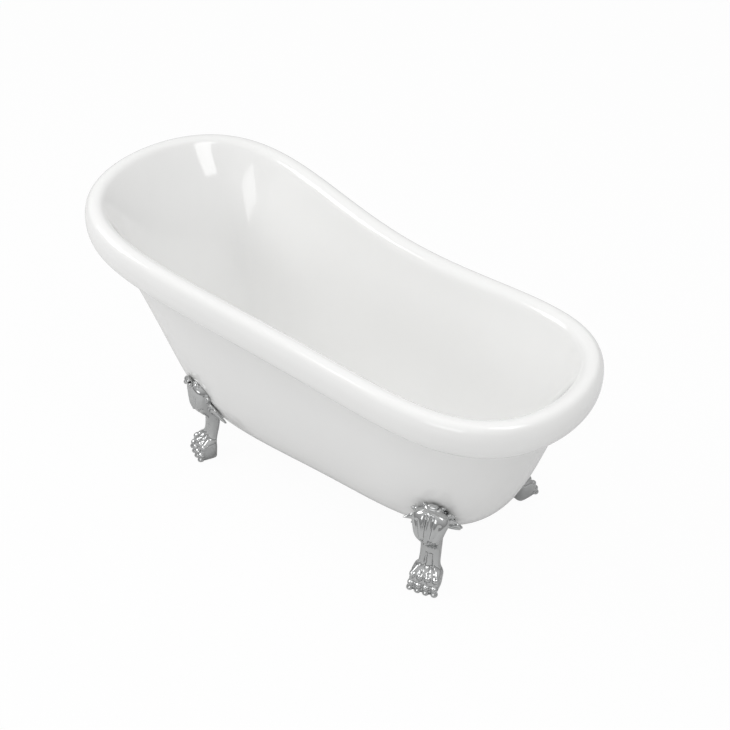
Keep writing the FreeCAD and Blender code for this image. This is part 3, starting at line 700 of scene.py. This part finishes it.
# %% Drill the paws and mirror them
screw_bore, pad_bore = 6.6 * MM, 16.5 * MM
for (end, side), foot in feet.items():
    x, y = (v * MM for v in foot_places[end][:2])
    drill(foot, screw_bore, (x, y, -0.01), (x, y, 0.0505), sides=48)
    drill(foot, pad_bore, (x, y, -0.01), (x, y, 0.0075), sides=64)
for pieces in (feet, pads):
    for end in ("head", "drain"):
        work = bmesh.new()
        work.from_mesh(pieces[end, "right"].data)
        bmesh.ops.scale(work, vec=(1, -1, 1), verts=work.verts)
        bmesh.ops.reverse_faces(work, faces=work.faces)
        pieces[end, "left"] = link(pieces[end, "right"].name.replace("right", "left"), work)
for foot in feet.values():
    for face in foot.data.polygons:
        face.use_smooth = True
print("feet:", sorted(foot.name for foot in feet.values()))

# %% [markdown]
# ## Finishes
# Colours are written as the hex values that a paint card gives, and one function turns
# them to the linear values that a renderer adds light in. One more function adds a node.


# %% Helpers for finishes
def linear(code):
    """A colour's linear red, green, blue and alpha, from its sRGB hex code."""
    parts = [int(code[i:i + 2], 16) / 255 for i in (1, 3, 5)]
    return [v / 12.92 if v <= 0.04045 else ((v + 0.055) / 1.055) ** 2.4 for v in parts] + [1.0]


def add(material, kind, settings=None, inputs=None):
    """Adds a node with its settings, and its inputs' values or links."""
    node = material.node_tree.nodes.new("ShaderNode" + kind)
    for name, value in (settings or {}).items():
        setattr(node, name, value)
    for name, value in (inputs or {}).items():
        socket = node.inputs[name]
        if isinstance(value, bpy.types.NodeSocket):
            material.node_tree.links.new(value, socket)
        else:
            socket.default_value = value
    return node


def finish(name, **values):
    """A new material, its shader with values on its own sockets, and its coordinates."""
    material = bpy.data.materials.new(name)
    material.use_nodes = True
    material.node_tree.nodes.clear()
    shader = add(material, "BsdfPrincipled", inputs={k.replace("_", " "): v for k, v in values.items()})
    add(material, "OutputMaterial", inputs={"Surface": shader.outputs["BSDF"]})
    coordinates = add(material, "TexCoord").outputs["Object"]
    return material, shader, coordinates


def connect(material, output, shader, name):
    """Links a node's output to one of the shader's inputs."""
    material.node_tree.links.new(output, shader.inputs[name])


def per_metre(size_in_mm):
    """A pattern's scale from the real size of its cells."""
    return 1000.0 / size_in_mm


# %% [markdown]
# ### Acrylic
# Cast acrylic sheet, drawn over a mould: a deep wet gloss with an IOR of 1.49. The sheet
# thins and cools unevenly, which leaves a very slight waviness, some 60 mm from crest to
# crest, and a faint orange peel. White sanitary acrylic is a touch warm.

# %% Acrylic
def acrylic(name, light, shade):
    """White sanitary acrylic with its slow waves and its faint orange peel."""
    material, shader, place = finish(name, IOR=1.49, Coat_Weight=0.35, Coat_Roughness=0.03)
    cloud = add(material, "TexNoise", inputs={"Vector": place, "Scale": per_metre(180), "Detail": 3.0})
    tint = add(material, "ValToRGB", inputs={"Fac": cloud.outputs["Fac"]})
    tint.color_ramp.elements[0].color, tint.color_ramp.elements[1].color = linear(shade), linear(light)
    connect(material, tint.outputs["Color"], shader, "Base Color")
    wiped = add(material, "TexNoise", inputs={"Vector": place, "Scale": per_metre(45), "Detail": 4.0})
    gloss = add(material, "MapRange", inputs={"Value": wiped.outputs["Fac"], "To Min": 0.06, "To Max": 0.11})
    connect(material, gloss.outputs["Result"], shader, "Roughness")
    peel = add(material, "TexNoise", inputs={"Vector": place, "Scale": per_metre(5), "Detail": 2.0})
    fine = add(material, "Bump", inputs={"Height": peel.outputs["Fac"], "Strength": 0.06, "Distance": 0.0002})
    wave = add(material, "TexNoise", inputs={"Vector": place, "Scale": per_metre(60), "Detail": 1.0})
    slow = add(material, "Bump", inputs={"Height": wave.outputs["Fac"], "Strength": 0.25, "Distance": 0.0006,
                                         "Normal": fine.outputs["Normal"]})
    connect(material, slow.outputs["Normal"], shader, "Normal")
    return material


bowl_acrylic = acrylic("cast_acrylic_bowl", "#F6F6F5", "#F3F3F2")
skin_acrylic = acrylic("cast_acrylic_skin", "#F4F4F3", "#F1F1F0")
print("finish:", bowl_acrylic.name, skin_acrylic.name)

# %% [markdown]
# ### Chrome
# Nickel and chrome plate over a polished casting. Chromium returns a little over half of
# the light, so a white studio looks mid grey in it and every crease, where light bounces
# twice or more, goes dark. The casting under it is never quite true: slow ripples some
# 9 mm apart and a little buffing haze break up its reflections.

# %% Chrome
def chrome(name, colour, haze, ripple):
    """Polished chrome plate."""
    material, shader, place = finish(name, Metallic=1.0)
    cloud = add(material, "TexNoise", inputs={"Vector": place, "Scale": per_metre(25), "Detail": 3.0})
    tint = add(material, "ValToRGB", inputs={"Fac": cloud.outputs["Fac"]})
    tint.color_ramp.elements[0].color, tint.color_ramp.elements[1].color = linear(colour[0]), linear(colour[1])
    connect(material, tint.outputs["Color"], shader, "Base Color")
    buffed = add(material, "TexNoise", inputs={"Vector": place, "Scale": per_metre(6), "Detail": 5.0})
    gloss = add(material, "MapRange", inputs={"Value": buffed.outputs["Fac"],
                                              "To Min": haze[0], "To Max": haze[1]})
    connect(material, gloss.outputs["Result"], shader, "Roughness")
    wave = add(material, "TexNoise", inputs={"Vector": place, "Scale": per_metre(9), "Detail": 1.5})
    bump = add(material, "Bump", inputs={"Height": wave.outputs["Fac"], "Strength": ripple, "Distance": 0.0005})
    connect(material, bump.outputs["Normal"], shader, "Normal")
    return material


foot_chrome = chrome("chrome_plated_casting", ("#B9BABA", "#C6C7C7"), (0.06, 0.16), 0.35)
trim_chrome = chrome("chrome_plated_brass", ("#C2C3C4", "#CCCDCE"), (0.04, 0.09), 0.08)
print("finish:", foot_chrome.name, trim_chrome.name)

# %% [markdown]
# ### The hidden parts
# Rubber, plywood, chipboard, zinc, nylon, brass and polypropylene all get their own
# grain, at the size that the real material has it.


# %% Plain finishes with a grain
def grained(name, dark, light, roughness, grain, stretch=(1, 1, 1), bump=0.2, **values):
    """A finish whose colour, gloss and height follow one grain, its size in millimetres."""
    material, shader, place = finish(name, **values)
    turned = add(material, "Mapping", inputs={"Vector": place, "Scale": stretch})
    noise = add(material, "TexNoise", inputs={"Vector": turned.outputs["Vector"],
                                              "Scale": per_metre(grain), "Detail": 6.0})
    tint = add(material, "ValToRGB", inputs={"Fac": noise.outputs["Fac"]})
    tint.color_ramp.elements[0].color, tint.color_ramp.elements[1].color = linear(dark), linear(light)
    tint.color_ramp.elements[0].position, tint.color_ramp.elements[1].position = 0.3, 0.7
    connect(material, tint.outputs["Color"], shader, "Base Color")
    gloss = add(material, "MapRange", inputs={"Value": noise.outputs["Fac"],
                                              "To Min": roughness[0], "To Max": roughness[1]})
    connect(material, gloss.outputs["Result"], shader, "Roughness")
    height = add(material, "Bump", inputs={"Height": noise.outputs["Fac"], "Strength": bump, "Distance": 0.0002})
    connect(material, height.outputs["Normal"], shader, "Normal")
    return material


finishes = {
    "bowl_acrylic": bowl_acrylic,
    "skin_acrylic": skin_acrylic,
    "foot_chrome": foot_chrome,
    "trim_chrome": trim_chrome,
    # calendered rubber sheet: matt, with a fine dusty bloom
    "gasket_rubber": grained("calendered_rubber", "#161616", "#242424", (0.55, 0.75), 1.2),
    # sealed birch plywood: veneers 1.5 mm thick, stacked upwards here, with long fibres
    "backing_plywood": grained("sealed_plywood", "#9A7448", "#C6A271", (0.45, 0.65), 14.0, (1, 1, 6), 0.4),
    # chipboard under a brushed coat of resin and glass: pale flakes a few millimetres long
    "board": grained("resin_coated_chipboard", "#8E7248", "#BFA377", (0.25, 0.45), 4.0, (1, 1, 2), 0.5),
    # zinc plate on steel: a milky blue-grey shine with spangles 3 mm across
    "zinc_steel": grained("zinc_plated_steel", "#9FA2A6", "#BFC2C4", (0.22, 0.40), 3.0, bump=0.1, Metallic=1.0),
    # moulded nylon: black, satin, with the mould's fine texture
    "pad_nylon": grained("moulded_nylon", "#1A1A1B", "#262628", (0.35, 0.5), 0.8),
    # cast brass, turned on its faces
    "nut_brass": grained("cast_brass", "#A98545", "#C9A868", (0.22, 0.4), 2.0, bump=0.25, Metallic=1.0),
    # moulded polypropylene: waxy and slightly see-through at its edges
    "waste_plastic": grained("moulded_polypropylene", "#DADAD6", "#E6E6E2", (0.3, 0.42), 2.5, bump=0.1,
                             Subsurface_Weight=0.1, Subsurface_Scale=0.004),
}
print("finishes:", len(finishes))

# %% [markdown]
# ## Put it together
# Every piece rides on the tub's body, hides the CAD nodes that it stands for, and takes the
# finish of the slot it is given. The CAD nodes that stay get the finish of their own slot.


# %% Ride, replace and finish
def stand_in(piece, slot, *replaced):
    """A tub piece that stands for CAD nodes and takes a slot's finish."""
    piece.data.materials.clear()
    piece.data.materials.append(finishes[slot])
    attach(piece, "tub")
    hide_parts(*replaced)


stand_in(bowl, "bowl_acrylic", "inner_shell")
stand_in(skin, "skin_acrylic", "outer_skin")
for (end, side), foot in feet.items():
    stand_in(foot, "foot_chrome", f"claw_foot_{end}_{side}")
    stand_in(pads[end, side], "gasket_rubber", f"foot_gasket_{end}_{side}")

slot_of = {row["node"]: row["material_slot"] for row in frame["record"]["subparts"]}
for name, node in nodes.items():
    for row in node.material_slots:
        row.material = finishes[slot_of[name]]
print("nodes with a finish:", len(slot_of))

# %% [markdown]
# ## Studio
# A product studio for white and chrome: a white sweep that the camera sees as plain
# white, a key box high on the left, towards the head end, a fill over the drain end and a
# low box in front. Reflections see the real floor and a sky that darkens to the horizon,
# which gives the chrome its greys. The floor keeps a small share of its real shading.


# %% Floor and surroundings
def seen_as_background(material):
    """1 for rays that come from the camera or through glass, otherwise 0."""
    path = add(material, "LightPath")
    either = add(material, "Math", {"operation": "MAXIMUM"})
    material.node_tree.links.new(path.outputs["Is Camera Ray"], either.inputs[0])
    material.node_tree.links.new(path.outputs["Is Transmission Ray"], either.inputs[1])
    return either.outputs[0]


floor_shading_share = 0.04
work = bmesh.new()
bmesh.ops.create_grid(work, x_segments=1, y_segments=1, size=12.0)
floor = link("studio_floor", work)
paper = bpy.data.materials.new("white_paper_sweep")
paper.use_nodes = True
paper.node_tree.nodes.clear()
matt = add(paper, "BsdfDiffuse", inputs={"Color": linear("#E6E6E6")})
glow = add(paper, "Emission", inputs={"Color": linear("#FFFFFF"), "Strength": 1.0})
share = add(paper, "Math", {"operation": "MULTIPLY"})
paper.node_tree.links.new(seen_as_background(paper), share.inputs[0])
share.inputs[1].default_value = 1.0 - floor_shading_share
mixed = add(paper, "MixShader", inputs={"Fac": share.outputs[0]})
paper.node_tree.links.new(matt.outputs[0], mixed.inputs[1])
paper.node_tree.links.new(glow.outputs[0], mixed.inputs[2])
add(paper, "OutputMaterial", inputs={"Surface": mixed.outputs[0]})
floor.data.materials.append(paper)

horizon_light, zenith_light = 0.34, 0.86
world = bpy.data.worlds.new("studio")
world.use_nodes = True
world.node_tree.nodes.clear()
direction = add(world, "SeparateXYZ", inputs={"Vector": add(world, "TexCoord").outputs["Generated"]})
height = add(world, "MapRange", inputs={"Value": direction.outputs["Z"], "To Min": horizon_light,
                                        "To Max": zenith_light})
level = add(world, "MapRange", inputs={"Value": seen_as_background(world),
                                       "To Min": height.outputs["Result"], "To Max": 1.0})
sky = add(world, "Background", inputs={"Color": linear("#FFFFFF"), "Strength": level.outputs["Result"]})
add(world, "OutputWorld", inputs={"Surface": sky.outputs[0]})
bpy.context.scene.world = world
print("world light from", horizon_light, "to", zenith_light)


# %% Lamps
def soft_box(name, place, aim, size, power):
    """A rectangular lamp at a place in metres, turned to face a point."""
    lamp = bpy.data.lights.new(name, "AREA")
    lamp.shape, lamp.size, lamp.size_y, lamp.energy = "RECTANGLE", size[0], size[1], power
    made = bpy.data.objects.new(name, lamp)
    turn = (Vector(aim) - Vector(place)).to_track_quat("-Z", "Y").to_matrix().to_4x4()
    made.matrix_world = Matrix.Translation(place) @ turn
    bpy.context.scene.collection.objects.link(made)
    return made


tub_middle = (0.0, 0.0, 0.35)
soft_box("key_box", (-2.2, -1.6, 3.0), tub_middle, (1.6, 1.6), 34.0)
soft_box("front_box", (0.7, -3.2, 1.7), tub_middle, (1.6, 1.0), 10.0)
soft_box("fill_box", (1.5, -0.2, 2.9), (-0.4, 0.0, 0.5), (0.8, 1.6), 14.0)

# %% [markdown]
# ## Camera
# The photograph looks down on the drain end's corner. Its distance and lens come from the
# way the rim's near side is larger than its far side, and the small shift puts the tub
# where the photograph has it in the frame.

# %% Camera
azimuth, elevation = math.radians(39.0), math.radians(37.3)
distance, lens, shift = 3.3, 59.2, 0.0424
back = Vector((math.sin(azimuth) * math.cos(elevation),
               -math.cos(azimuth) * math.cos(elevation), math.sin(elevation)))
view = bpy.data.cameras.new("camera")
view.lens, view.sensor_width, view.shift_x = lens, 36.0, shift
camera = bpy.data.objects.new("camera", view)
camera.matrix_world = (Matrix.Translation(Vector(tub_middle) + back * distance)
                       @ back.to_track_quat("Z", "Y").to_matrix().to_4x4())
bpy.context.scene.collection.objects.link(camera)
bpy.context.scene.camera = camera
bpy.context.scene.view_settings.view_transform = "Standard"
print("camera at", [round(v, 3) for v in camera.location])

# %% End
print("scene built")
